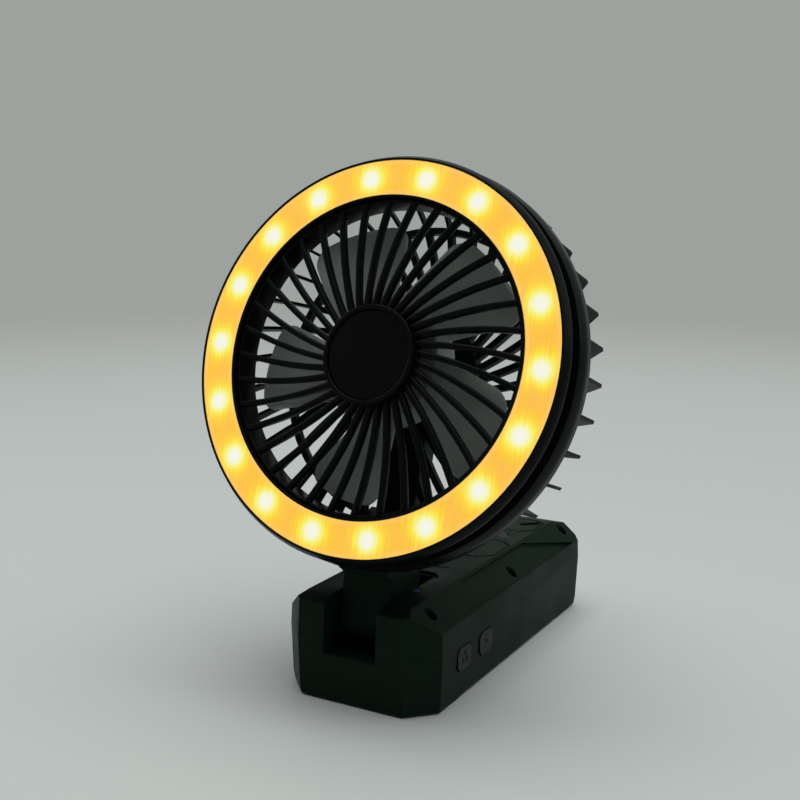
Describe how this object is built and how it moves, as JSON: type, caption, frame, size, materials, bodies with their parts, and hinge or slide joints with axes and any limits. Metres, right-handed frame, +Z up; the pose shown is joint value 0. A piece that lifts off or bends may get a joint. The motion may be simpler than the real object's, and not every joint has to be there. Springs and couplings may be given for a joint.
{
  "type": "portable camping fan",
  "caption": "Cordless table fan with a tilting round head, swept grilles, a pale light ring and a faceted battery base with two side buttons.",
  "frame": {"origin": "centre of the underside of the base, on the plane that it stands on", "axes": "+Z up, +X to the fan's left side where the two buttons are, -Y the way the fan blows"},
  "size_m": [0.168, 0.1736, 0.2194],
  "materials": {
    "housing_plastic": "fine satin moulded",
    "band_plastic": "polished",
    "grille_plastic": "satin moulded",
    "blade_plastic": "smoky, slightly translucent",
    "button_plastic": "satin",
    "diffuser_plastic": "milky, lit from behind",
    "lamp_board": "white solder mask",
    "lamp_chip": "phosphor",
    "foot_rubber": "matt",
    "screw_steel": "zinc plated",
    "pin_steel": "ground",
    "shaft_steel": "ground",
    "can_steel": "drawn",
    "bearing_bronze": "sintered",
    "winding_copper": "enamelled wire",
    "rotor_iron": "pressed",
    "washer_nylon": "smooth",
    "circuit_board": "solder mask",
    "component_black": "moulded",
    "cell_wrap": "shrink film",
    "holder_plastic": "moulded",
    "strip_nickel": "rolled",
    "socket_steel": "pressed",
    "lead_rubber": "smooth",
    "light_pipe": "clear"
  },
  "bodies": {
    "base": {"base_bottom_shell": "housing_plastic", "base_top_shell": "housing_plastic", "rubber_feet": "foot_rubber", "case_screws": "screw_steel", "hinge_pin": "pin_steel", "charge_light": "light_pipe", "button_board": "circuit_board", "tact_switches": "component_black", "battery_cells": "cell_wrap", "cell_holders": "holder_plastic", "battery_strips": "strip_nickel", "main_board": "circuit_board", "board_screws": "screw_steel", "board_parts": "component_black", "usb_out_socket": "socket_steel", "usb_in_socket": "socket_steel", "socket_tongues": "component_black", "battery_leads": "lead_rubber"},
    "head": {"front_bezel": "band_plastic", "light_diffuser": "diffuser_plastic", "led_board": "lamp_board", "led_chips": "lamp_chip", "rear_shell": "band_plastic", "front_grille": "grille_plastic", "grille_cap": "grille_plastic", "rear_guard": "housing_plastic", "head_screws": "screw_steel", "arm_front_shell": "housing_plastic", "arm_rear_cover": "housing_plastic", "arm_screws": "screw_steel", "friction_washers": "washer_nylon", "arm_wiring": "lead_rubber", "motor_can": "can_steel", "motor_end_plate": "can_steel", "motor_windings": "winding_copper", "motor_bearings": "bearing_bronze", "motor_screws": "screw_steel", "driver_board": "circuit_board"},
    "spinner": {"impeller": "blade_plastic", "motor_rotor": "rotor_iron", "motor_shaft": "shaft_steel"},
    "fan_key": {"fan_button": "button_plastic"},
    "light_key": {"light_button": "button_plastic"}
  },
  "joints": [
    {"name": "neck_hinge", "type": "hinge", "parent": "base", "child": "head", "pos_m": [0, -0.059, 0.0323], "axis": [1, 0, 0], "range_deg": [-25, 48]},
    {"name": "impeller_spin", "type": "hinge", "parent": "head", "child": "spinner", "pos_m": [0, -0.06613, 0.14201], "axis": [0, 0.9489, -0.3156], "continuous": true},
    {"name": "fan_button_press", "type": "slide", "parent": "base", "child": "fan_key", "axis": [-1, 0, 0], "range_m": [0, 0.0007], "stiffness_N_per_m": 1500, "springref_m": -0.0003},
    {"name": "light_button_press", "type": "slide", "parent": "base", "child": "light_key", "axis": [-1, 0, 0], "range_m": [0, 0.0007], "stiffness_N_per_m": 1500, "springref_m": -0.0003}
  ]
}
